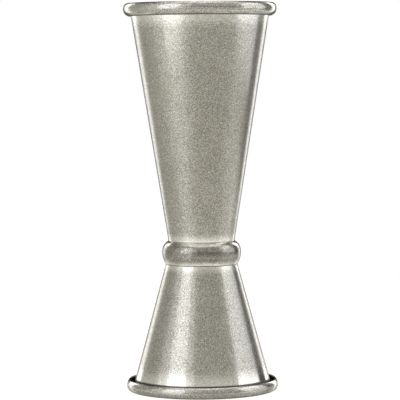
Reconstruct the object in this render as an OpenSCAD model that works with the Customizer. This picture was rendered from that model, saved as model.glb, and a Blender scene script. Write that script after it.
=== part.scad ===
// Double-ended cocktail jigger: two drawn steel cups welded bottom to bottom,
// with a formed collar trapped over the weld.
// The axis is Z, the small cup's rim rests on Z = 0 and the large cup opens upwards.

/* [Overall] */
// Height over both rims
height = 122; // [100:1:146]
// Height of the plane where the two cup bottoms meet
waist_height = 44.7; // [37:0.1:53]
// Diameter to which both cones narrow at that plane
waist_d = 20; // [17:0.1:22]
// Thickness of the cups' sheet steel
sheet = 0.6; // [0.5:0.05:0.75]

/* [Rolled rims] */
// Outside diameter of the large cup's rim
upper_rim_d = 48.2; // [40:0.1:58]
// Outside diameter of the small cup's rim
lower_rim_d = 47.8; // [40:0.1:58]
// Outside radius of the tight bend at the resting edge
curl_bend_r = 1.2; // [1:0.05:1.5]
// Outside radius of the wider roll that follows the bend
curl_roll_r = 2.4; // [2:0.05:2.9]
// Angle before the widest point at which the bend runs into the roll
curl_blend = 30; // [20:1:40]
// Opening between the large cup's rolled edge and its wall
upper_lip_gap = 0.4; // [0.2:0.05:1.4]
// Opening between the small cup's rolled edge and its wall
lower_lip_gap = 1.3; // [0.2:0.05:1.4]
// Width of the flat on the edge that a rim rests on
rest_flat = 0.6; // [0.4:0.05:0.8]

/* [Welded bottoms] */
// Outside radius of the drawn corner between bottom and wall
corner_r = 1.6; // [1.2:0.1:2.4]
// Number of spot welds
weld_count = 3; // [1:1:5]
// Distance of the welds' centres from the cones' edge at the waist
weld_inset = 5; // [4.5:0.1:6]
// Diameter of a weld nugget
weld_d = 4; // [3:0.1:4.5]
// Depth to which a nugget enters each bottom
weld_depth = 0.3; // [0.2:0.05:0.35]
// Diameter of the electrode's mark inside a cup
mark_d = 5; // [4.6:0.1:5.6]
// Depth of the electrode's mark
mark_depth = 0.08; // [0.04:0.01:0.1]

/* [Collar] */
// Height by which the collar stands out from the cones' edge at the waist
collar_stand = 2.4; // [2:0.05:3]
// Thickness of the collar's sheet
collar_sheet = 0.7; // [0.5:0.05:0.8]
// Height of the collar's straight band
collar_band = 0.55; // [0.4:0.05:1.2]
// Depth of the band's lower edge below the plane where the bottoms meet
collar_drop = 1.15; // [0.9:0.05:1.6]
// Outside radius of the upper shoulder
collar_shoulder_r = 3.5; // [3:0.1:4]
// Outside radius of the lower flank
collar_flank_r = 6.7; // [5.5:0.1:8]
// Angle that the lower flank turns through
collar_flank_turn = 31; // [25:1:35]
// Outside radius of the hem that turns in under the flank
collar_hem_r = 1; // [0.9:0.05:1.4]
// Clearance between the collar's edges and the cones that they bear on
collar_gap = 0.1; // [0.05:0.01:0.25]

/* [Hidden] */
$fn = 180;

steel = [0.70, 0.69, 0.64];
collar_steel = [0.62, 0.61, 0.56];
weld_steel = [0.50, 0.48, 0.45];

// Largest angle between neighbouring points of an arc
arc_step = 6;
// The same for the small round of a rim's free edge
lip_step = 30;

upper_depth = height - waist_height;
lower_depth = waist_height;
waist_r = waist_d/2;
collar_r = waist_r + collar_stand;
weld_circle_r = waist_r - weld_inset;

// Half the angle that the resting flat takes out of the tight bend
flat_half_angle = asin(rest_flat/2/curl_bend_r);
// Distance from the bend's centre to the resting flat
bend_to_flat = curl_bend_r*cos(flat_half_angle);
// Distance from the bend's centre to the widest point of the rim
bend_to_side = curl_roll_r - (curl_roll_r - curl_bend_r)*cos(curl_blend);

function polar(radius, angle) = radius*[cos(angle), sin(angle)];

// Points of an arc, at the given step or a little less
function arc(centre, radius, from, to, step = arc_step) =
    let (count = ceil(abs(to - from)/step))
    [for (i = [0:count]) centre + polar(radius, from + (to - from)*i/count)];

// A cup's section lies in the plane of radius and distance from its bottom's outer face.

// Centre of the tight bend at the mouth
function bend_centre(depth, rim_d) = [rim_d/2 - bend_to_side, depth - bend_to_flat];

// Angle between wall and axis at which the wall runs tangent into the bend
function wall_lean(depth, rim_d) =
    let (reach = bend_centre(depth, rim_d) - [waist_r, 0])
    acos((curl_bend_r - sheet)/norm(reach)) - atan2(reach[1], reach[0]);

// Centre of the wider roll that follows the bend
function roll_centre(depth, rim_d) =
    bend_centre(depth, rim_d) - polar(curl_roll_r - curl_bend_r, curl_blend);

// Angle past the widest point at which the roll ends, so that its edge is the gap away from the wall
function roll_end(depth, rim_d, lip_gap) =
    let (
        lean = wall_lean(depth, rim_d),
        from_wall = (roll_centre(depth, rim_d) - [waist_r, 0])*[cos(lean), -sin(lean)]
    )
    lean + acos((lip_gap + sheet/2 - from_wall)/(curl_roll_r - sheet/2));

// Section of a cup's sheet: out along its outer face, round the lip and back along its inner face.
// Where two arcs meet, the second one starts or ends a step short of the point that they share.
function cup_outline(depth, rim_d, lip_gap) =
    let (
        lean = wall_lean(depth, rim_d),
        corner = [waist_r + corner_r*(tan(lean) - 1/cos(lean)), corner_r],
        bend = bend_centre(depth, rim_d),
        side = roll_centre(depth, rim_d),
        roll = roll_end(depth, rim_d, lip_gap),
        lip = side + polar(curl_roll_r - sheet/2, -roll)
    )
    concat(
        [[0, 0]],
        arc(corner, corner_r, -90, -lean),
        arc(bend, curl_bend_r - sheet, 180 - lean, curl_blend),
        arc(side, curl_roll_r - sheet, curl_blend - arc_step, -roll),
        arc(lip, sheet/2, 180 - roll + lip_step, 360 - roll - lip_step, lip_step),
        arc(side, curl_roll_r, -roll, curl_blend - arc_step),
        arc(bend, curl_bend_r, curl_blend, 90 - flat_half_angle),
        arc(bend, curl_bend_r, 90 + flat_half_angle, 180 - lean),
        arc(corner, corner_r - sheet, -lean, -90),
        [[0, sheet]]
    );

// Section of the collar's sheet before its edges are cut to the cones,
// up its outer face and down its inner face, with height measured from the plane of the welds
function collar_outline() =
    let (
        shoulder = [collar_r - collar_shoulder_r, collar_band - collar_drop],
        flank = [collar_r - collar_flank_r, -collar_drop],
        hem = flank + polar(collar_flank_r - collar_hem_r, -collar_flank_turn)
    )
    concat(
        arc(hem, collar_hem_r, -90, -collar_flank_turn),
        arc(flank, collar_flank_r, arc_step - collar_flank_turn, 0),
        arc(shoulder, collar_shoulder_r, 0, 90),
        arc(shoulder, collar_shoulder_r - collar_sheet, 90, 0),
        arc(flank, collar_flank_r - collar_sheet, 0, arc_step - collar_flank_turn),
        arc(hem, collar_hem_r - collar_sheet, -collar_flank_turn, -90)
    );

// Section of both cones, grown by the collar's clearance
module collar_seat() {
    upper_lean = wall_lean(upper_depth, upper_rim_d);
    lower_lean = wall_lean(lower_depth, lower_rim_d);
    upper_r = waist_r + collar_gap/cos(upper_lean);
    lower_r = waist_r + collar_gap/cos(lower_lean);
    reach = collar_r;
    polygon([
        [0, -reach],
        [lower_r + reach*tan(lower_lean), -reach],
        [lower_r, 0],
        [upper_r, 0],
        [upper_r + reach*tan(upper_lean), reach],
        [0, reach]
    ]);
}

module at_welds()
    for (i = [0:weld_count - 1])
        rotate([0, 0, 360*i/weld_count])
            translate([weld_circle_r, 0, 0])
                children();

module weld_nugget()
    cylinder(d = weld_d, h = 2*weld_depth, center = true);

module electrode_mark()
    translate([0, 0, sheet - mark_depth])
        cylinder(d = mark_d, h = sheet);

// A cup with its bottom's outer face on Z = 0 and its mouth upwards
module cup(depth, rim_d, lip_gap)
    difference() {
        rotate_extrude()
            polygon(cup_outline(depth, rim_d, lip_gap));
        at_welds() {
            weld_nugget();
            electrode_mark();
        }
    }

module upper_cup()
    color(steel)
        translate([0, 0, waist_height])
            cup(upper_depth, upper_rim_d, upper_lip_gap);

module lower_cup()
    color(steel)
        translate([0, 0, waist_height])
            mirror([0, 0, 1])
                cup(lower_depth, lower_rim_d, lower_lip_gap);

module spot_welds()
    color(weld_steel)
        translate([0, 0, waist_height])
            at_welds()
                weld_nugget();

module waist_collar()
    color(collar_steel)
        translate([0, 0, waist_height])
            rotate_extrude()
                difference() {
                    polygon(collar_outline());
                    collar_seat();
                }

upper_cup();
lower_cup();
waist_collar();
spot_welds();
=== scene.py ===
"""A double-ended cocktail jigger in tumbled steel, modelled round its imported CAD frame."""

from math import acos, asin, atan2, ceil, cos, pi, radians, sin, tan

import bpy
from mathutils import Matrix, Vector


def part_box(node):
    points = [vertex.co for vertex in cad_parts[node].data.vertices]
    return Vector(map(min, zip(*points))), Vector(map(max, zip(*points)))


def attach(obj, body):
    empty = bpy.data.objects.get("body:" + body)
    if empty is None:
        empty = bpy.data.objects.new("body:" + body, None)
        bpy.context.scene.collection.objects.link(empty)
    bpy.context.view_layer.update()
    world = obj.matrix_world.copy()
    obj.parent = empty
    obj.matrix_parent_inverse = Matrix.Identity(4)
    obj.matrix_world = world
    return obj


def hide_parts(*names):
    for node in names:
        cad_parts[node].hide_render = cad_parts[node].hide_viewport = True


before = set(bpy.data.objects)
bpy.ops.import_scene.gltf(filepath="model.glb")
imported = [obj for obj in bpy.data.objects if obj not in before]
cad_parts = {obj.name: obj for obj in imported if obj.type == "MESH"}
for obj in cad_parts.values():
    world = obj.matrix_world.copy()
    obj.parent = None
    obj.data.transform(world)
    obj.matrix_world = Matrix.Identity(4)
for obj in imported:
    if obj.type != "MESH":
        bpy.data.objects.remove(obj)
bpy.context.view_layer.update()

MM = 0.001
UP = 1
DOWN = -1

# Sheet, rims and bottoms, as in the CAD model
SHEET = 0.6 * MM
WAIST_R = 10 * MM
CORNER_R = 1.6 * MM
BEND_R = 1.2 * MM
ROLL_R = 2.4 * MM
BLEND = radians(30)
REST_FLAT = 0.6 * MM
FLAT_HALF_ANGLE = asin(REST_FLAT / 2 / BEND_R)
UPPER_LIP_GAP = 0.4 * MM
LOWER_LIP_GAP = 1.3 * MM
WELD_COUNT = 3
WELD_CIRCLE_R = 5 * MM
MARK_R = 2.5 * MM
MARK_DEPTH = 0.08 * MM
MARK_EDGE = 0.35 * MM

# Collar, as in the CAD model
COLLAR_SHEET = 0.7 * MM
COLLAR_BAND = 0.55 * MM
COLLAR_DROP = 1.15 * MM
SHOULDER_R = 3.5 * MM
FLANK_R = 6.7 * MM
FLANK_TURN = radians(31)
HEM_R = 1 * MM
COLLAR_GAP = 0.1 * MM

# Places that the frame gives
upper_low, upper_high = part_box("upper_cup")
lower_low, lower_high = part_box("lower_cup")
collar_low, collar_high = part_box("waist_collar")
WAIST_Z = upper_low.z
UPPER_DEPTH = upper_high.z - WAIST_Z
LOWER_DEPTH = WAIST_Z - lower_low.z
UPPER_RIM_R = upper_high.x
LOWER_RIM_R = lower_high.x
COLLAR_R = collar_high.x

# Fineness of the meshes
AROUND = 224
ARC_STEP = radians(4)
LIP_STEP = radians(20)
WALL_STEPS = 36
BOTTOM_STEPS = 30
TOUCHING = 0.001 * MM
SMOOTH_UNDER = radians(40)

# Grain of the steel, in a space that is turned so that none of its axes meets a wall squarely
ASKEW = (radians(45), radians(35), radians(20))
GRAIN_SIZE = 0.27 * MM
GRAIN_NOISE = {"Scale": 1, "Detail": 2, "Roughness": 0.35}
PIT_DOTS = {"scale": 0.45, "core": 0.12, "edge": 0.4}
SPARK_DOTS = {"scale": 0.36, "core": 0.1, "edge": 0.3}
PIT_DEPTH = 0.35
GRAIN_BUMP = 0.005 * MM
GRAIN_TO_FLECK = (0.4, 0.6)
PIT_SHADE = 0.15
SPARK_SHARE = 0.6
ROUGHNESS_SPREAD = 0.06

# Broad patches of tone and stain
BLOTCH_SIZE = 6 * MM
TONE_NOISE = {"Scale": 1, "Detail": 3, "Roughness": 0.55}
TONE_SPREAD = 0.5
STAIN_NOISE = {"Scale": 1.7, "Detail": 4, "Roughness": 0.6, "Distortion": 0.2}
STAIN_EDGE = (0.52, 0.72)
STAIN_SHARE = 0.3

# Edges of the masks
EDGE = 0.05 * MM
STREAKED = (1, 1, 3)
RAGGED_NOISE = {"Scale": 700, "Detail": 3}
PAST_LIP = (1.05, 1.3)
THROUGH_SHEET = (-0.7 * SHEET, -0.3 * SHEET)

# A thin smooth skin over the grain, which keeps the reflections crisp
SKIN_IOR = 3.5
SKIN_SPREAD = 0.2

# Marks of making and use; the polishing and buffing also carry a painted highlight, the creases painted
# shade
# Polishing inside the cups, which also lightens their shaded inside as painted light
INSIDE_POLISH_AND_LIGHT = 0.8
# Buffing: lighter colour, partly a painted highlight, and less roughness and grain
BUFFED_HIGHLIGHT_SHARE = 0.3
BUFFED_ROUGHNESS = 0.16
BUFFED_GRAIN = 0.8
RUBBED_GLOSS = 0.4
RUBBED_GRAIN = 0.7
# Painted shade in creases and hollows: how much, and how much rougher
CREASE_SHADE_SHARE = 0.9
CREASE_SHADE_ROUGHNESS = 0.2
# Colours of polishing, lighter than the tumbled ones: partly real, partly a painted highlight
POLISH_HIGHLIGHT_DULL = (0.62, 0.61, 0.545)
POLISH_HIGHLIGHT_BRIGHT = (0.97, 0.96, 0.89)
RUBBED_PITS = (0.205, 0.19, 0.14)
SPARK = (1.0, 0.99, 0.92)
# Colour of the painted shade in creases and rolled hollows
CREASE_SHADE = (0.07, 0.066, 0.055)

# Camera
LENS = 200
SENSOR = 36
CAMERA_AWAY = 0.700
CAMERA_Z = 0.1014
CAMERA_PITCH = 0.0590
CAMERA_PAN = 0.00054
CAMERA_ROLL = -0.0076

# Light panels: name, angles in degrees from the camera's side, lower and upper edge, brightness
PANEL_AWAY = 0.36
PANEL_COLOUR = (0.985, 0.99, 1.035)
PANELS = (
    ("left_panel", -63, -30, 0.012, 0.45, 0.95),
    ("left_panel_surround", -84, -16, 0.012, 0.45, 0.34),
    ("right_panel", 65, 113, 0.025, 0.40, 1.09),
)

# Floor, with glowing patches that only the metal's reflections show, as painted light: where they start
# and end, and how softly
FLOOR_R = 0.36
FLOOR_CORNERS = 96
FLOOR_COLOUR = (0.56, 0.55, 0.51, 1)
FLOOR_ROUGHNESS = 0.25
FLOOR_SPECULAR = 1
FLOOR_GLOW = (1, 1, 0.97, 1)
GLOW_TO_CAMERA = 0.8
# Painted light: how much the floor glows into the metal's reflections, and how much more in the patches
GLOW_TO_METAL = 0.1
PATCH_GLOW = 0.4
NEAR_PATCH = (0.031, 0.046, 0.006)
FAR_PATCH = (0.112, 0.1375, 0.012)
SIDE_PATCH_X = (0.17, 0.32, 0.06)
SIDE_PATCH_Y = (0.0, 0.18, 0.06)
SIDE_PATCH_SHARE = 0.7

# Tints and levels of the light round the jigger
WARM = (1, 0.985, 0.91)
NEUTRAL = (1, 0.995, 0.985)
PINKISH = (1, 0.965, 0.94)
WHITE = (1, 1, 1)
BACK_LEVEL = 0.02
LEFT_LEVEL = 0.45


def deselect_all():
    """Leave nothing selected and no object in edit mode."""
    if bpy.context.object and bpy.context.object.mode != "OBJECT":
        bpy.ops.object.mode_set(mode="OBJECT")
    bpy.ops.object.select_all(action="DESELECT")


def polar(radius, angle):
    """A section point from its radius and angle."""
    return Vector((radius * cos(angle), radius * sin(angle)))


class SectionPen:
    """Draws the section of a round piece by extruding and spinning one vertex.

    A section point is a radius and a distance from the waist plane, upwards or downwards.
    """

    def __init__(self, name, start, way=UP):
        self.way = way
        self.place = start
        deselect_all()
        bpy.ops.mesh.primitive_plane_add(size=SHEET, location=self.in_frame(start))
        self.piece = bpy.context.object
        self.piece.name = name
        self.piece.data.name = name
        bpy.ops.object.transform_apply(location=True, rotation=False, scale=False)
        bpy.ops.object.mode_set(mode="EDIT")
        bpy.ops.mesh.select_mode(type="VERT")
        bpy.ops.mesh.select_all(action="SELECT")
        bpy.ops.mesh.merge(type="CENTER")

    def in_frame(self, point):
        """A section point's place in the CAD frame."""
        return Vector((point.x, 0, WAIST_Z + self.way * point.y))

    def line(self, end, steps=1):
        """A straight line in equal steps."""
        step = (end - self.place) / steps
        for _ in range(steps):
            bpy.ops.mesh.extrude_region_move(
                TRANSFORM_OT_translate={"value": (step.x, 0, self.way * step.y)}
            )
        self.place = end

    def arc(self, centre, radius, start, end, step=ARC_STEP, reach=1):
        """An arc, with a line of so many steps before it if the pen is elsewhere."""
        first = centre + polar(radius, start)
        if (first - self.place).length > TOUCHING:
            self.line(first, reach)
        turn = end - start
        bpy.ops.mesh.spin(
            steps=ceil(abs(turn) / step),
            angle=self.way * turn,
            center=self.in_frame(centre),
            axis=(0, 1, 0),
        )
        self.place = centre + polar(radius, end)

    def revolve(self):
        """Spin the section round the jigger's axis and close it."""
        bpy.ops.mesh.select_all(action="SELECT")
        bpy.ops.mesh.remove_doubles(threshold=TOUCHING)
        bpy.ops.mesh.spin(steps=AROUND, angle=2 * pi, center=(0, 0, 0), axis=(0, 0, 1))
        bpy.ops.mesh.select_all(action="SELECT")
        bpy.ops.mesh.remove_doubles(threshold=TOUCHING)
        bpy.ops.mesh.normals_make_consistent(inside=False)
        bpy.ops.mesh.select_all(action="DESELECT")
        bpy.ops.object.mode_set(mode="OBJECT")
        bpy.ops.object.shade_smooth_by_angle(angle=SMOOTH_UNDER)
        return self.piece


def bend_centre(depth, rim_r):
    """Centre of the tight bend at the mouth."""
    to_side = ROLL_R - (ROLL_R - BEND_R) * cos(BLEND)
    return Vector((rim_r - to_side, depth - BEND_R * cos(FLAT_HALF_ANGLE)))


def wall_lean(depth, rim_r):
    """Angle between wall and axis at which the wall runs tangent into the bend."""
    reach = bend_centre(depth, rim_r) - Vector((WAIST_R, 0))
    return acos((BEND_R - SHEET) / reach.length) - atan2(reach.y, reach.x)


def roll_centre(depth, rim_r):
    """Centre of the wider roll that follows the bend."""
    return bend_centre(depth, rim_r) - polar(ROLL_R - BEND_R, BLEND)


def lip_turn(depth, rim_r, lip_gap):
    """Angle past the widest point at which the roll ends, so that its edge is the gap off the wall."""
    lean = wall_lean(depth, rim_r)
    from_waist = roll_centre(depth, rim_r) - Vector((WAIST_R, 0))
    off_wall = from_waist.dot(Vector((cos(lean), -sin(lean))))
    return lean + acos((lip_gap + SHEET / 2 - off_wall) / (ROLL_R - SHEET / 2))


def lip_centre(depth, rim_r, lip_gap):
    """Centre of the round on the rim's free edge."""
    return roll_centre(depth, rim_r) + polar(ROLL_R - SHEET / 2, -lip_turn(depth, rim_r, lip_gap))


def pressed_cup(name, depth, rim_r, lip_gap, way):
    """One cup: bottom, leaning wall and rim rolled outwards to a rounded free edge."""
    lean = wall_lean(depth, rim_r)
    corner = Vector((WAIST_R + CORNER_R * (tan(lean) - 1 / cos(lean)), CORNER_R))
    bend = bend_centre(depth, rim_r)
    roll = roll_centre(depth, rim_r)
    turn = lip_turn(depth, rim_r, lip_gap)
    lip = lip_centre(depth, rim_r, lip_gap)

    pen = SectionPen(name, Vector((0, 0)), way)
    pen.arc(corner, CORNER_R, -pi / 2, -lean)
    pen.arc(bend, BEND_R - SHEET, pi - lean, BLEND, reach=WALL_STEPS)
    pen.arc(roll, ROLL_R - SHEET, BLEND, -turn)
    pen.arc(lip, SHEET / 2, pi - turn, 2 * pi - turn, LIP_STEP)
    pen.arc(roll, ROLL_R, -turn, BLEND)
    pen.arc(bend, BEND_R, BLEND, pi / 2 - FLAT_HALF_ANGLE)
    pen.arc(bend, BEND_R, pi / 2 + FLAT_HALF_ANGLE, pi - lean)
    pen.arc(corner, CORNER_R - SHEET, -lean, -pi / 2, reach=WALL_STEPS)
    pen.line(Vector((0, SHEET)), BOTTOM_STEPS)
    cup = pen.revolve()
    press_weld_marks(cup, way)
    return cup


def press_weld_marks(cup, way):
    """Push in the round marks that the welding electrodes leave inside the bottom."""
    floor_z = WAIST_Z + way * SHEET
    for i in range(WELD_COUNT):
        turn = 2 * pi * i / WELD_COUNT
        weld = Vector((WELD_CIRCLE_R * cos(turn), WELD_CIRCLE_R * sin(turn), floor_z))
        deselect_all()
        cup.select_set(True)
        bpy.context.view_layer.objects.active = cup
        for vertex in cup.data.vertices:
            vertex.select = (vertex.co - weld).length < MARK_R - MARK_EDGE
        bpy.ops.object.mode_set(mode="EDIT")
        bpy.ops.transform.translate(
            value=(0, 0, -way * MARK_DEPTH),
            use_proportional_edit=True,
            proportional_edit_falloff="SMOOTH",
            proportional_size=MARK_EDGE,
        )
        bpy.ops.mesh.select_all(action="DESELECT")
        bpy.ops.object.mode_set(mode="OBJECT")


def waist_collar():
    """The formed band in the groove between the cones, its edges cut parallel to both."""
    shoulder = Vector((COLLAR_R - SHOULDER_R, COLLAR_BAND - COLLAR_DROP))
    flank = Vector((COLLAR_R - FLANK_R, -COLLAR_DROP))
    hem = flank + polar(FLANK_R - HEM_R, -FLANK_TURN)
    pen = SectionPen("collar_band", hem + polar(HEM_R, -pi / 2))
    pen.arc(hem, HEM_R, -pi / 2, -FLANK_TURN)
    pen.arc(flank, FLANK_R, -FLANK_TURN, 0)
    pen.arc(shoulder, SHOULDER_R, 0, pi / 2)
    pen.arc(shoulder, SHOULDER_R - COLLAR_SHEET, pi / 2, 0)
    pen.arc(flank, FLANK_R - COLLAR_SHEET, 0, -FLANK_TURN)
    pen.arc(hem, HEM_R - COLLAR_SHEET, -FLANK_TURN, -pi / 2)
    pen.line(hem + polar(HEM_R, -pi / 2))
    bpy.ops.mesh.select_all(action="SELECT")
    bpy.ops.mesh.remove_doubles(threshold=TOUCHING)
    bpy.ops.mesh.edge_face_add()
    cut_to_cone(wall_lean(UPPER_DEPTH, UPPER_RIM_R), UP)
    cut_to_cone(wall_lean(LOWER_DEPTH, LOWER_RIM_R), DOWN)
    bpy.ops.mesh.select_all(action="SELECT")
    bpy.ops.mesh.delete(type="ONLY_FACE")
    return pen.revolve()


def cut_to_cone(lean, way):
    """Cut the collar's section along a line that runs beside one cone."""
    bpy.ops.mesh.select_all(action="SELECT")
    bpy.ops.mesh.bisect(
        plane_co=(WAIST_R + COLLAR_GAP / cos(lean), 0, WAIST_Z),
        plane_no=(cos(lean), 0, -way * sin(lean)),
        clear_inner=True,
        threshold=TOUCHING / 10,
    )


def put(tree, kind, sockets=None, **settings):
    """Add a node, set its settings, and set or link its inputs."""
    node = tree.nodes.new(kind)
    for name, value in settings.items():
        setattr(node, name, value)
    for name, value in (sockets or {}).items():
        if isinstance(value, bpy.types.NodeSocket):
            tree.links.new(value, node.inputs[name])
        else:
            node.inputs[name].default_value = value
    return node


def calc(tree, operation, *values):
    """One step of arithmetic on values or sockets."""
    return put(tree, "ShaderNodeMath", dict(enumerate(values)), operation=operation).outputs[0]


def rest_of(tree, share):
    """What a share leaves of the whole."""
    return calc(tree, "SUBTRACT", 1, share)


def ramp_between(tree, value, low, high):
    """0 below low, 1 above high, with soft ends."""
    sockets = {"Value": value, "From Min": low, "From Max": high}
    return put(tree, "ShaderNodeMapRange", sockets, interpolation_type="SMOOTHSTEP").outputs[0]


def band_between(tree, value, low, high, soft):
    """Full between low and high, with soft edges there."""
    inside = ramp_between(tree, value, low - soft / 2, low + soft / 2)
    return calc(tree, "SUBTRACT", inside, ramp_between(tree, value, high - soft / 2, high + soft / 2))


def blend(tree, share, first, second):
    """A colour that goes from the first to the second."""
    mixer = put(tree, "ShaderNodeMix", {0: share}, data_type="RGBA")
    for socket, value in ((mixer.inputs[6], first), (mixer.inputs[7], second)):
        if isinstance(value, bpy.types.NodeSocket):
            tree.links.new(value, socket)
        else:
            socket.default_value = (*value, 1)
    return mixer.outputs[2]


def hypotenuse(tree, first, second):
    """Length of the long side over two square sides."""
    squares = calc(tree, "MULTIPLY_ADD", first, first, calc(tree, "MULTIPLY", second, second))
    return calc(tree, "SQRT", squares)


def parts_of(tree, place):
    """The X, Y and Z of a place."""
    return put(tree, "ShaderNodeSeparateXYZ", {0: place}).outputs


def scaled(tree, place, size):
    """The place in the turned space of the grain, counted in steps of the given size."""
    turned = put(
        tree, "ShaderNodeVectorRotate", {"Vector": place, "Rotation": ASKEW}, rotation_type="EULER_XYZ"
    ).outputs[0]
    per_size = calc(tree, "DIVIDE", 1, size)
    return put(tree, "ShaderNodeVectorMath", {0: turned, "Scale": per_size}, operation="SCALE").outputs[0]


def noise(tree, place, settings):
    """Soft noise between 0 and 1."""
    return put(tree, "ShaderNodeTexNoise", {"Vector": place, **settings}).outputs[0]


def dots(tree, place, scale, core, edge):
    """Scattered dots, full inside the core and gone past the edge."""
    cells = put(tree, "ShaderNodeTexVoronoi", {"Vector": place, "Scale": scale}).outputs["Distance"]
    return rest_of(tree, ramp_between(tree, cells, core, edge))


def start_group(name, inputs, outputs):
    """A node group with named sockets, and its inner input and output sockets."""
    group = bpy.data.node_groups.new(name, "ShaderNodeTree")
    for label, value in inputs.items():
        kind = "NodeSocketVector" if label == "Place" else "NodeSocketFloat"
        socket = group.interface.new_socket(label, in_out="INPUT", socket_type=kind)
        if label != "Place":
            socket.default_value = value
    for label in outputs:
        group.interface.new_socket(label, in_out="OUTPUT", socket_type="NodeSocketFloat")
    inside = group.nodes.new("NodeGroupInput").outputs
    out = group.nodes.new("NodeGroupOutput").inputs
    return group, inside, out


def grain_group():
    """Fine light and dark grain with small pits and bright sparks, as tumbling with stones leaves it."""
    inputs = {"Place": None, "Size": GRAIN_SIZE}
    group, inside, out = start_group("tumbled_grain", inputs, ("Grain", "Pits", "Sparks", "Height"))
    place = scaled(group, inside["Place"], inside["Size"])
    grain = noise(group, place, GRAIN_NOISE)
    pits = dots(group, place, **PIT_DOTS)
    group.links.new(grain, out["Grain"])
    group.links.new(pits, out["Pits"])
    group.links.new(dots(group, place, **SPARK_DOTS), out["Sparks"])
    group.links.new(calc(group, "MULTIPLY_ADD", pits, -PIT_DEPTH, grain), out["Height"])
    return group


def blotch_group():
    """Broad soft patches of tone, and of warmer stain."""
    group, inside, out = start_group("blotches", {"Place": None, "Size": BLOTCH_SIZE}, ("Tone", "Stain"))
    place = scaled(group, inside["Place"], inside["Size"])
    stain = noise(group, place, STAIN_NOISE)
    group.links.new(noise(group, place, TONE_NOISE), out["Tone"])
    group.links.new(ramp_between(group, stain, *STAIN_EDGE), out["Stain"])
    return group


def ring_group():
    """A ring round the axis: strongest at one height, fading over one distance ahead and one behind."""
    inputs = {
        "Place": None, "Level": 0.0, "Ahead": 1 * MM, "Behind": 1 * MM, "Ragged": 0.5, "Strength": 1.0,
    }
    group, inside, out = start_group("ring_round_axis", inputs, ("Ring",))
    off = calc(group, "SUBTRACT", parts_of(group, inside["Place"])["Z"], inside["Level"])
    ahead = calc(group, "DIVIDE", off, inside["Ahead"])
    behind = calc(group, "DIVIDE", calc(group, "MULTIPLY", off, -1), inside["Behind"])
    streaks = put(group, "ShaderNodeVectorMath", {0: inside["Place"], 1: STREAKED}, operation="MULTIPLY")
    rough_edge = calc(group, "SUBTRACT", noise(group, streaks.outputs[0], RAGGED_NOISE), 0.5)
    away = calc(group, "MAXIMUM", ahead, behind)
    away = calc(group, "MULTIPLY_ADD", rough_edge, inside["Ragged"], away)
    ring = rest_of(group, ramp_between(group, away, 0, 1))
    group.links.new(calc(group, "MULTIPLY", ring, inside["Strength"]), out["Ring"])
    return group


def hollow_group():
    """The hollow inside a rolled rim: what is nearer than Reach to its middle, up to the lip."""
    inputs = {"Place": None, "Level": 0.0, "Radius": 1 * MM, "Reach": 1 * MM, "Lip": 0.0}
    group, inside, out = start_group("rolled_hollow", inputs, ("Hollow",))
    axes = parts_of(group, inside["Place"])
    across = calc(group, "SUBTRACT", hypotenuse(group, axes["X"], axes["Y"]), inside["Radius"])
    along = calc(group, "SUBTRACT", axes["Z"], inside["Level"])
    deep = calc(group, "SUBTRACT", inside["Reach"], hypotenuse(group, across, along))
    past_lip = calc(group, "DIVIDE", along, calc(group, "SUBTRACT", inside["Lip"], inside["Level"]))
    near = ramp_between(group, deep, -EDGE, EDGE)
    within = rest_of(group, ramp_between(group, past_lip, *PAST_LIP))
    group.links.new(calc(group, "MULTIPLY", near, within), out["Hollow"])
    return group


def outside_group():
    """Full on and beyond a cone's outer face, nothing on the inner face of its sheet."""
    inputs = {"Place": None, "Level": 0.0, "Radius": 1 * MM, "Slope": 0.0}
    group, inside, out = start_group("outside_of_cone", inputs, ("Outside",))
    axes = parts_of(group, inside["Place"])
    along = calc(group, "SUBTRACT", axes["Z"], inside["Level"])
    wall = calc(group, "MULTIPLY_ADD", along, inside["Slope"], inside["Radius"])
    off_wall = calc(group, "SUBTRACT", hypotenuse(group, axes["X"], axes["Y"]), wall)
    group.links.new(ramp_between(group, off_wall, *THROUGH_SHEET), out["Outside"])
    return group


def around(level, up, down, **more):
    """Settings of a ring that fades over one distance upwards and another downwards."""
    return {"Level": level, "Ahead": up, "Behind": down, **more}


def above(level, reach, **more):
    """Settings of a ring that starts sharply at a level and fades upwards."""
    return around(level, reach, EDGE, **more)


def below(level, reach, **more):
    """Settings of a ring that starts sharply at a level and fades downwards."""
    return around(level, EDGE, reach, **more)


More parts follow.
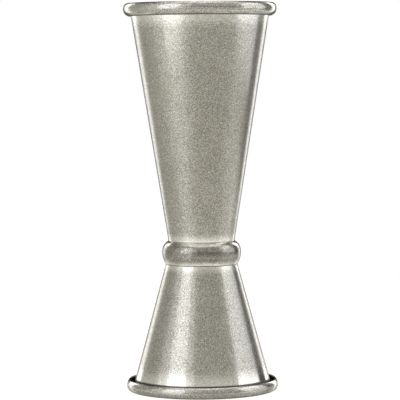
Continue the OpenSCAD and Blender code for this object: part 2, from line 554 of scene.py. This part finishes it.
class SteelFinish:
    """One steel, built up mark by mark: each mark lies over the ones before it."""

    def __init__(self, name, dull, bright, stain, rough, skin, skin_rough):
        """Tumbled metal: flecks between dull and bright, stains, and a smooth skin over the grain."""
        self.material = bpy.data.materials.new(name)
        self.material.use_nodes = True
        self.tree = tree = self.material.node_tree
        self.skin_rough = skin_rough
        self.outside = None
        self.place = put(tree, "ShaderNodeTexCoord").outputs["Object"]
        self.grain = put(tree, "ShaderNodeGroup", {"Place": self.place}, node_tree=GRAIN).outputs
        self.height = self.grain["Height"]
        blotches = put(tree, "ShaderNodeGroup", {"Place": self.place}, node_tree=BLOTCHES).outputs

        fleck = ramp_between(tree, self.grain["Grain"], *GRAIN_TO_FLECK)
        fleck = calc(tree, "MULTIPLY_ADD", self.grain["Pits"], -PIT_SHADE, fleck)
        tone = calc(tree, "MULTIPLY_ADD", blotches["Tone"], TONE_SPREAD, -TONE_SPREAD / 2)
        self.fleck = calc(tree, "ADD", fleck, tone)
        self.colour = blend(tree, self.fleck, dull, bright)
        self.colour_towards(stain, blotches["Stain"], STAIN_SHARE)
        # Bright colour of polishing: partly real, partly a painted highlight
        self.polish_and_highlight = blend(tree, self.fleck, POLISH_HIGHLIGHT_DULL, POLISH_HIGHLIGHT_BRIGHT)
        self.roughness = calc(
            tree, "MULTIPLY_ADD", self.grain["Grain"], ROUGHNESS_SPREAD, rough - ROUGHNESS_SPREAD / 2
        )
        self.gloss = calc(tree, "MULTIPLY_ADD", self.fleck, SKIN_SPREAD, skin - SKIN_SPREAD / 2)

    def mask(self, group, settings, operation="MAXIMUM"):
        """One kind of mask, set to several places and joined to one."""
        joined = None
        for sockets in settings:
            single = put(self.tree, "ShaderNodeGroup", {"Place": self.place, **sockets}, node_tree=group)
            joined = calc(self.tree, operation, joined, single.outputs[0]) if joined else single.outputs[0]
        return joined

    def outer_mask(self, group, settings):
        """The same, kept to the outer faces where the piece has an inside."""
        mask = self.mask(group, settings)
        return calc(self.tree, "MULTIPLY", mask, self.outside) if self.outside else mask

    def colour_towards(self, colour, mask, share):
        """Bring the colour some way towards another where the mask is."""
        self.colour = blend(self.tree, calc(self.tree, "MULTIPLY", mask, share), self.colour, colour)

    def weaken_grain(self, mask, share):
        """Take this share off the grain's height where the mask is."""
        kept = calc(self.tree, "MULTIPLY_ADD", mask, -share, 1)
        self.height = calc(self.tree, "MULTIPLY", self.height, kept)

    def polish_and_lighten_inside(self, cones):
        """Bring what lies inside the cones to the polishing colour, partly as painted light in their
        shade, and remember what lies outside.
        """
        self.outside = self.mask(OUTSIDE, cones, "MINIMUM")
        inside = calc(self.tree, "MULTIPLY_ADD", self.outside, -INSIDE_POLISH_AND_LIGHT, INSIDE_POLISH_AND_LIGHT)
        self.colour = blend(self.tree, inside, self.colour, self.polish_and_highlight)

    def polish_with_highlight(self, rings):
        """Bring sheltered places to the polishing colour, partly real and partly a painted highlight, on
        the outer faces where the piece has an inside.
        """
        self.colour = blend(self.tree, self.outer_mask(RING, rings), self.colour, self.polish_and_highlight)

    def buff_with_highlight(self, rings):
        """Lighten buffed places, partly as a painted highlight, smooth them, and flatten their grain."""
        mask = self.mask(RING, rings)
        self.colour_towards(POLISH_HIGHLIGHT_BRIGHT, mask, BUFFED_HIGHLIGHT_SHARE)
        self.roughness = calc(self.tree, "MULTIPLY_ADD", mask, -BUFFED_ROUGHNESS, self.roughness)
        self.weaken_grain(mask, BUFFED_GRAIN)

    def rub(self, rings):
        """Make handled edges glossy, with the dark left in between the flecks."""
        mask = self.mask(RING, rings)
        self.colour_towards(RUBBED_PITS, mask, rest_of(self.tree, self.fleck))
        self.gloss = calc(self.tree, "MULTIPLY_ADD", mask, RUBBED_GLOSS, self.gloss)
        self.weaken_grain(mask, RUBBED_GRAIN)

    def sparkle(self):
        """Scatter bright points over the grain."""
        self.colour_towards(SPARK, self.grain["Sparks"], SPARK_SHARE)

    def shade_creases(self, group, settings):
        """Put painted shade, dull and rough, into creases and hollows."""
        mask = self.outer_mask(group, settings)
        self.colour_towards(CREASE_SHADE, mask, CREASE_SHADE_SHARE)
        self.roughness = calc(self.tree, "MULTIPLY_ADD", mask, CREASE_SHADE_ROUGHNESS, self.roughness)
        self.gloss = calc(self.tree, "MULTIPLY_ADD", mask, -1, self.gloss)

    def done(self):
        """Link what was built up to the shader."""
        bump = put(
            self.tree, "ShaderNodeBump", {"Strength": 1, "Distance": GRAIN_BUMP, "Height": self.height}
        )
        shader = self.tree.nodes["Principled BSDF"]
        shader.inputs["Metallic"].default_value = 1
        shader.inputs["Coat IOR"].default_value = SKIN_IOR
        shader.inputs["Coat Roughness"].default_value = self.skin_rough
        for socket, value in (
            ("Base Color", self.colour),
            ("Roughness", self.roughness),
            ("Coat Weight", self.gloss),
            ("Normal", bump.outputs[0]),
        ):
            self.tree.links.new(value, shader.inputs[socket])
        return self.material


def tumbled_steel():
    """Both cups: polishing beside rims and collar, partly a painted highlight, rubbed on the rims, painted
    shade in their rolls and creases.
    """
    upper_slope = tan(wall_lean(UPPER_DEPTH, UPPER_RIM_R))
    lower_slope = -tan(wall_lean(LOWER_DEPTH, LOWER_RIM_R))
    upper_roll = roll_centre(UPPER_DEPTH, UPPER_RIM_R)
    lower_roll = roll_centre(LOWER_DEPTH, LOWER_RIM_R)
    upper_lip_z = WAIST_Z + lip_centre(UPPER_DEPTH, UPPER_RIM_R, UPPER_LIP_GAP).y - SHEET / 2
    lower_lip_z = WAIST_Z - lip_centre(LOWER_DEPTH, LOWER_RIM_R, LOWER_LIP_GAP).y + SHEET / 2
    whole_rim = 20 * MM
    hollow_r = ROLL_R - SHEET / 2

    steel = SteelFinish(
        "tumbled_steel",
        dull=(0.257, 0.250, 0.209),
        bright=(0.578, 0.566, 0.499),
        stain=(0.45, 0.405, 0.35),
        rough=0.30,
        skin=0.32,
        skin_rough=0.1,
    )
    # Inside the cones: polishing, which also lightens the shaded inside as painted light
    steel.polish_and_lighten_inside([
        {"Level": WAIST_Z, "Radius": WAIST_R, "Slope": upper_slope},
        {"Level": WAIST_Z, "Radius": WAIST_R, "Slope": lower_slope},
    ])
    # Polishing beside the rims, the collar and the foot; its lightness is partly a painted highlight
    steel.polish_with_highlight([
        above(upper_lip_z, whole_rim, Ragged=0.3, Strength=0.3),
        below(upper_lip_z, 4.5 * MM, Ragged=1.3),
        above(collar_high.z, 3 * MM, Ragged=0.3),
        below(collar_low.z, 3 * MM, Ragged=0.15),
        above(lower_lip_z, 5 * MM, Ragged=0.15),
    ])
    # Buffing above the foot and the collar; its lightness is partly a painted highlight
    steel.buff_with_highlight([
        above(lower_lip_z, 6.5 * MM, Ragged=0.3),
        above(collar_high.z, 3 * MM, Ragged=0.3),
    ])
    steel.rub([above(upper_lip_z, whole_rim), below(lower_lip_z, whole_rim)])
    steel.sparkle()
    # Painted shade at the upper lip and at the collar's edges
    steel.shade_creases(RING, [
        around(upper_lip_z, 0.35 * MM, 0.1 * MM),
        around(collar_high.z, 0.22 * MM, 0.3 * MM),
        around(collar_low.z, 0.3 * MM, 0.35 * MM),
    ])
    # Painted shade inside the rolled rims, up to their lips
    steel.shade_creases(HOLLOW, [
        {"Level": WAIST_Z + upper_roll.y, "Radius": upper_roll.x, "Reach": hollow_r, "Lip": upper_lip_z},
        {"Level": WAIST_Z - lower_roll.y, "Radius": lower_roll.x, "Reach": hollow_r, "Lip": lower_lip_z},
    ])
    return steel.done()


def collar_steel():
    """The collar: darker and glossier than the cups, with polishing near both edges that is partly a
    painted highlight, and painted shade right at them.
    """
    steel = SteelFinish(
        "collar_steel",
        dull=(0.111, 0.104, 0.083),
        bright=(0.335, 0.317, 0.26),
        stain=(0.30, 0.255, 0.225),
        rough=0.30,
        skin=0.5,
        skin_rough=0.16,
    )
    # Polishing near both edges, partly a painted highlight
    steel.polish_with_highlight([above(collar_low.z, 1.8 * MM), below(collar_high.z, 1.5 * MM)])
    steel.sparkle()
    # Painted shade right at both edges
    steel.shade_creases(RING, [above(collar_low.z, 0.12 * MM), below(collar_high.z, 0.06 * MM)])
    return steel.done()


def weld_steel():
    """The hidden welds: remelted metal, duller than the sheet."""
    steel = SteelFinish(
        "weld_steel",
        dull=(0.30, 0.28, 0.27),
        bright=(0.50, 0.48, 0.44),
        stain=(0.40, 0.32, 0.27),
        rough=0.42,
        skin=0.2,
        skin_rough=0.1,
    )
    steel.sparkle()
    return steel.done()


def add_camera():
    """The photograph's view, a little above the jigger's middle."""
    lens = bpy.data.cameras.new("camera")
    lens.lens = LENS
    lens.sensor_width = SENSOR
    camera = bpy.data.objects.new("camera", lens)
    bpy.context.scene.collection.objects.link(camera)
    camera.matrix_world = (
        Matrix.Translation((0, -CAMERA_AWAY, CAMERA_Z))
        @ Matrix.Rotation(CAMERA_PAN, 4, "Z")
        @ Matrix.Rotation(pi / 2 - CAMERA_PITCH, 4, "X")
        @ Matrix.Rotation(CAMERA_ROLL, 4, "Z")
    )
    bpy.context.scene.camera = camera


def add_panel(name, from_degrees, to_degrees, low, high, brightness):
    """A soft light panel that fills the given angles, seen from the jigger."""
    from_angle, to_angle = radians(from_degrees), radians(to_degrees)
    middle = (from_angle + to_angle) / 2
    width = 2 * PANEL_AWAY * tan((to_angle - from_angle) / 2)
    lamp = bpy.data.lights.new(name, "AREA")
    lamp.shape = "RECTANGLE"
    lamp.color = PANEL_COLOUR
    lamp.size = width
    lamp.size_y = high - low
    lamp.energy = brightness * pi * width * (high - low)
    panel = bpy.data.objects.new(name, lamp)
    bpy.context.scene.collection.objects.link(panel)
    panel.location = (PANEL_AWAY * sin(middle), -PANEL_AWAY * cos(middle), (low + high) / 2)
    panel.rotation_euler = (pi / 2, 0, middle)
    panel.visible_camera = False


def seen_directly(tree, rays):
    """Full where the camera looks straight, or through something clear, at a surface."""
    return calc(tree, "MAXIMUM", rays["Is Camera Ray"], rays["Is Transmission Ray"])


def glowing_floor_patches(tree):
    """Glowing patches of the floor, seen only in the metal's reflections: a ring near the foot, one
    further out and one at the right side.
    """
    axes = parts_of(tree, put(tree, "ShaderNodeTexCoord").outputs["Object"])
    away = hypotenuse(tree, axes["X"], axes["Y"])
    rings = calc(
        tree, "ADD", band_between(tree, away, *NEAR_PATCH), band_between(tree, away, *FAR_PATCH)
    )
    across = band_between(tree, axes["X"], *SIDE_PATCH_X)
    along = band_between(tree, axes["Y"], *SIDE_PATCH_Y)
    side = calc(tree, "MULTIPLY", across, along)
    return calc(tree, "MULTIPLY_ADD", side, SIDE_PATCH_SHARE, rings)


def add_floor():
    """A pale round floor with a faint sheen that keeps the shadow, looks white to the camera and glows
    into the metal's reflections.
    """
    deselect_all()
    bpy.ops.mesh.primitive_circle_add(vertices=FLOOR_CORNERS, radius=FLOOR_R, fill_type="NGON")
    floor = bpy.context.object
    floor.name = "floor"
    material = bpy.data.materials.new("floor")
    material.use_nodes = True
    tree = material.node_tree
    shader = tree.nodes["Principled BSDF"]
    shader.inputs["Base Color"].default_value = FLOOR_COLOUR
    shader.inputs["Roughness"].default_value = FLOOR_ROUGHNESS
    shader.inputs["Specular IOR Level"].default_value = FLOOR_SPECULAR
    shader.inputs["Emission Color"].default_value = FLOOR_GLOW
    rays = put(tree, "ShaderNodeLightPath").outputs
    to_camera = calc(tree, "MULTIPLY", seen_directly(tree, rays), GLOW_TO_CAMERA)
    # Painted light: the floor glows into the metal's reflections, more in its glowing patches
    to_metal = calc(tree, "MULTIPLY_ADD", glowing_floor_patches(tree), PATCH_GLOW, GLOW_TO_METAL)
    glow = calc(tree, "MULTIPLY_ADD", rays["Is Glossy Ray"], to_metal, to_camera)
    tree.links.new(glow, shader.inputs["Emission Strength"])
    below_floor = put(tree, "ShaderNodeNewGeometry").outputs["Backfacing"]
    tree.links.new(rest_of(tree, below_floor), shader.inputs["Alpha"])
    floor.data.materials.append(material)


def tinted(tint, *stops):
    """Stops of an angle in degrees and a level, given a tint."""
    return [(degrees, level, tint) for degrees, level in stops]


def room_ring(left_card, right_card, gap, *front):
    """Stops of one ring: dark straight behind, a white card at each side of that, then the front."""
    return [
        *tinted(WARM, (-180, BACK_LEVEL), (-155, BACK_LEVEL)),
        *tinted(NEUTRAL, (-152, left_card), (-139, left_card)),
        *tinted(WARM, (-132, LEFT_LEVEL), *front, (113, gap), (139, gap)),
        *tinted(NEUTRAL, (142, right_card), (153, right_card)),
        *tinted(WARM, (156, BACK_LEVEL), (180, BACK_LEVEL)),
    ]


def ring_of_light(tree, share, stops):
    """Light round the jigger, from stops of an angle, a level and a tint."""
    ramp = put(tree, "ShaderNodeValToRGB", {0: share})
    keys = ramp.color_ramp.elements
    while len(keys) < len(stops):
        keys.new(0.5)
    for key, (degrees, level, tint) in zip(keys, stops):
        key.position = 0.5 + degrees / 360
        key.color = (*(level * part for part in tint), 1)
    return ramp.outputs[0]


def add_surroundings(lowest, *higher):
    """A white backdrop, and to the metal a studio of rings of light, one above the other."""
    world = bpy.data.worlds.new("studio")
    bpy.context.scene.world = world
    world.use_nodes = True
    tree = world.node_tree
    axes = parts_of(tree, put(tree, "ShaderNodeTexCoord").outputs["Generated"])
    angle = calc(tree, "ARCTAN2", axes["X"], calc(tree, "MULTIPLY", axes["Y"], -1))
    share = calc(tree, "MULTIPLY_ADD", angle, 1 / (2 * pi), 0.5)
    light = ring_of_light(tree, share, lowest)
    for low, high, ring in higher:
        height = ramp_between(tree, axes["Z"], low, high)
        light = blend(tree, height, light, ring_of_light(tree, share, ring))
    rays = put(tree, "ShaderNodeLightPath").outputs
    light = blend(tree, seen_directly(tree, rays), light, WHITE)
    tree.links.new(light, tree.nodes["Background"].inputs["Color"])


# Node groups that the steels share
GRAIN = grain_group()
BLOTCHES = blotch_group()
RING = ring_group()
HOLLOW = hollow_group()
OUTSIDE = outside_group()

# Rings of light that the metal shows, from the lowest up; 0 degrees is towards the camera
SWEEP = room_ring(1.8, 1.8, 0.15, (-78, 0.76), (0, 0.71), (60, 0.66))
HORIZON = room_ring(2.1, 2.4, 0.08, (-80, 0.56), (-66, 0.30), (0, 0.26), (60, 0.30))
WALLS = room_ring(2.8, 3.5, 0.05, (-78, 0.52), (-66, 0.55), (0, 0.56), (60, 0.56))
UPPER = tinted(
    PINKISH,
    (-180, 1.2), (-174, 1.2), (-167, 0.06), (-132, 0.08), (-110, 0.4), (-60, 0.52), (0, 0.63),
    (60, 0.52), (84, 0.95), (112, 0.95), (118, 0.1), (167, 0.06), (174, 1.2), (180, 1.2),
)
CEILING = tinted(PINKISH, (-180, 1.35), (180, 1.35))

add_camera()
add_floor()
for panel in PANELS:
    add_panel(*panel)
# Each higher ring takes over between two heights of the direction that is looked in
add_surroundings(
    SWEEP,
    (-0.2, -0.06, HORIZON),
    (0.06, 0.2, WALLS),
    (0.42, 0.55, UPPER),
    (0.8, 0.92, CEILING),
)
bpy.context.scene.view_settings.view_transform = "Standard"

cup_finish = tumbled_steel()
upper = pressed_cup("large_cup", UPPER_DEPTH, UPPER_RIM_R, UPPER_LIP_GAP, UP)
lower = pressed_cup("small_cup", LOWER_DEPTH, LOWER_RIM_R, LOWER_LIP_GAP, DOWN)
collar = waist_collar()
for piece, node, slot, finish in (
    (upper, "upper_cup", "tumbled_steel", cup_finish),
    (lower, "lower_cup", "tumbled_steel", cup_finish),
    (collar, "waist_collar", "collar_steel", collar_steel()),
):
    piece.data.materials.append(finish)
    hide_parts(node)
    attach(piece, "root")

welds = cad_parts["spot_welds"]
welds.data.materials.clear()
welds.data.materials.append(weld_steel())
